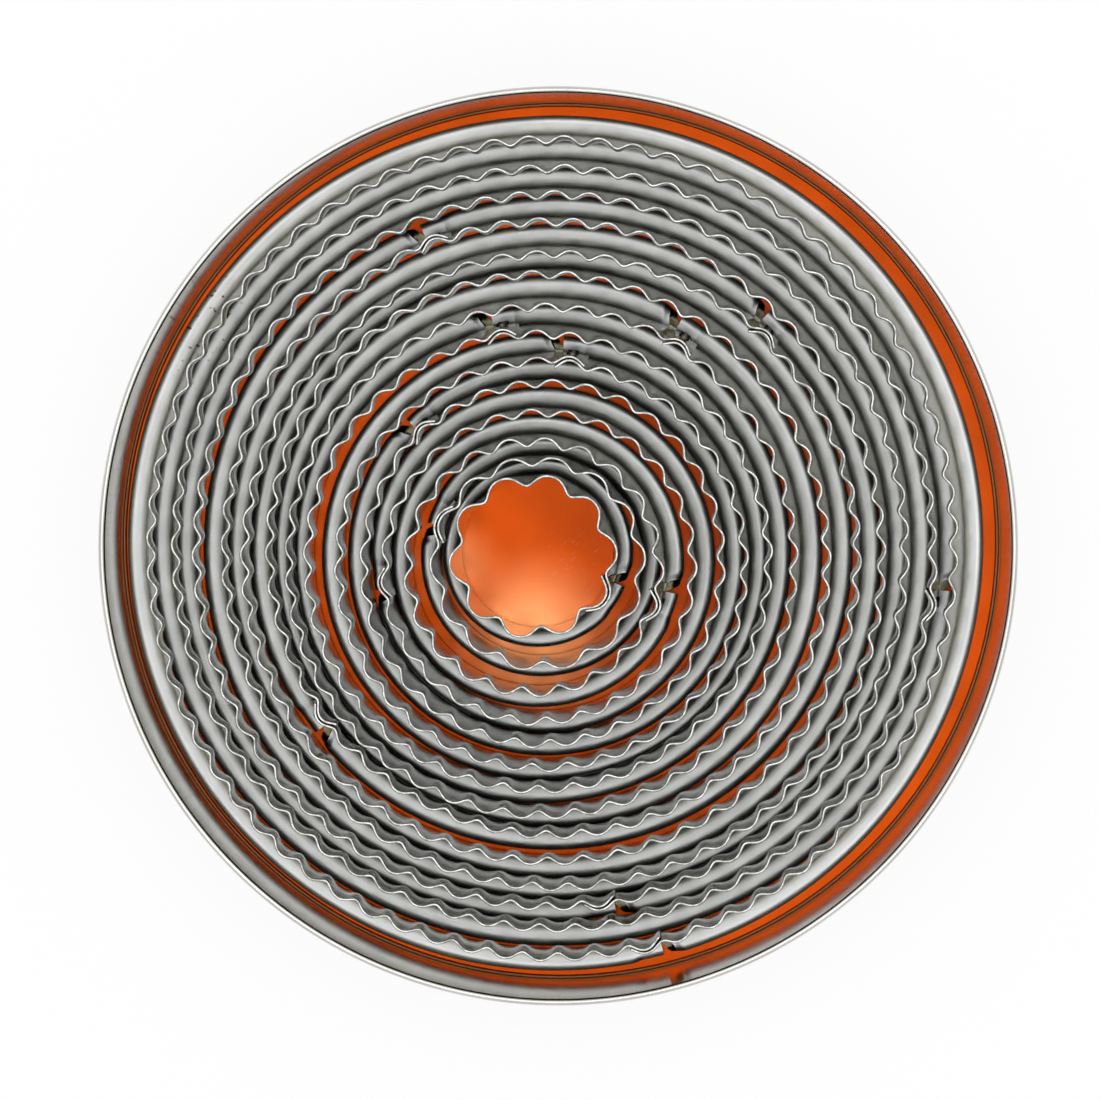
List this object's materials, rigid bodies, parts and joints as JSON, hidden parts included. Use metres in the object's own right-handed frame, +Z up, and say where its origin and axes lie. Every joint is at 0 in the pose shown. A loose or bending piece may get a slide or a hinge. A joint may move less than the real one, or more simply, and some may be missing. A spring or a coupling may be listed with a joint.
{
  "type": "biscuit cutter set",
  "caption": "Nested round crinkled biscuit cutters of bent tinplate strip with rolled grip edges, standing in an open round tin with a lacquered floor.",
  "frame": {"origin": "centre of the tin's underside, on the surface it stands on", "axes": "+Z up through the nest, towards the cutting edges; +X to the right and +Y away from the viewer as the set is seen from above"},
  "size_m": [0.1288, 0.1288, 0.0316],
  "materials": {
    "cutter_strip": "bright tinplate, rolled and slightly worn",
    "weld": "dull spot weld marks",
    "tinplate": "drawn tinplate, satin",
    "lacquer": "glossy orange lacquer with fine scratches"
  },
  "bodies": {
    "tin": {"tin_wall": "tinplate", "tin_floor_panel": "lacquer"},
    "cutter_01": {"cutter_01": "cutter_strip", "spot_welds_01": "weld"},
    "cutter_02": {"cutter_02": "cutter_strip", "spot_welds_02": "weld"},
    "cutter_03": {"cutter_03": "cutter_strip", "spot_welds_03": "weld"},
    "cutter_04": {"cutter_04": "cutter_strip", "spot_welds_04": "weld"},
    "cutter_05": {"cutter_05": "cutter_strip", "spot_welds_05": "weld"},
    "cutter_06": {"cutter_06": "cutter_strip", "spot_welds_06": "weld"},
    "cutter_07": {"cutter_07": "cutter_strip", "spot_welds_07": "weld"},
    "cutter_08": {"cutter_08": "cutter_strip", "spot_welds_08": "weld"},
    "cutter_09": {"cutter_09": "cutter_strip", "spot_welds_09": "weld"},
    "cutter_10": {"cutter_10": "cutter_strip", "spot_welds_10": "weld"},
    "cutter_11": {"cutter_11": "cutter_strip", "spot_welds_11": "weld"},
    "cutter_12": {"cutter_12": "cutter_strip", "spot_welds_12": "weld"},
    "cutter_13": {"cutter_13": "cutter_strip", "spot_welds_13": "weld"},
    "cutter_14": {"cutter_14": "cutter_strip", "spot_welds_14": "weld"}
  },
  "joints": [
    {"name": "cutter_01_lift", "type": "slide", "parent": "tin", "child": "cutter_01", "axis": [0, 0, 1], "range_m": [0, 0.036]},
    {"name": "cutter_02_lift", "type": "slide", "parent": "cutter_01", "child": "cutter_02", "axis": [0, 0, 1], "range_m": [0, 0.036]},
    {"name": "cutter_03_lift", "type": "slide", "parent": "cutter_02", "child": "cutter_03", "axis": [0, 0, 1], "range_m": [0, 0.036]},
    {"name": "cutter_04_lift", "type": "slide", "parent": "cutter_03", "child": "cutter_04", "axis": [0, 0, 1], "range_m": [0, 0.036]},
    {"name": "cutter_05_lift", "type": "slide", "parent": "cutter_04", "child": "cutter_05", "axis": [0, 0, 1], "range_m": [0, 0.036]},
    {"name": "cutter_06_lift", "type": "slide", "parent": "cutter_05", "child": "cutter_06", "axis": [0, 0, 1], "range_m": [0, 0.036]},
    {"name": "cutter_07_lift", "type": "slide", "parent": "cutter_06", "child": "cutter_07", "axis": [0, 0, 1], "range_m": [0, 0.036]},
    {"name": "cutter_08_lift", "type": "slide", "parent": "cutter_07", "child": "cutter_08", "axis": [0, 0, 1], "range_m": [0, 0.036]},
    {"name": "cutter_09_lift", "type": "slide", "parent": "cutter_08", "child": "cutter_09", "axis": [0, 0, 1], "range_m": [0, 0.036]},
    {"name": "cutter_10_lift", "type": "slide", "parent": "cutter_09", "child": "cutter_10", "axis": [0, 0, 1], "range_m": [0, 0.036]},
    {"name": "cutter_11_lift", "type": "slide", "parent": "cutter_10", "child": "cutter_11", "axis": [0, 0, 1], "range_m": [0, 0.036]},
    {"name": "cutter_12_lift", "type": "slide", "parent": "cutter_11", "child": "cutter_12", "axis": [0, 0, 1], "range_m": [0, 0.036]},
    {"name": "cutter_13_lift", "type": "slide", "parent": "cutter_12", "child": "cutter_13", "axis": [0, 0, 1], "range_m": [0, 0.036]},
    {"name": "cutter_14_lift", "type": "slide", "parent": "cutter_13", "child": "cutter_14", "axis": [0, 0, 1], "range_m": [0, 0.036]}
  ]
}
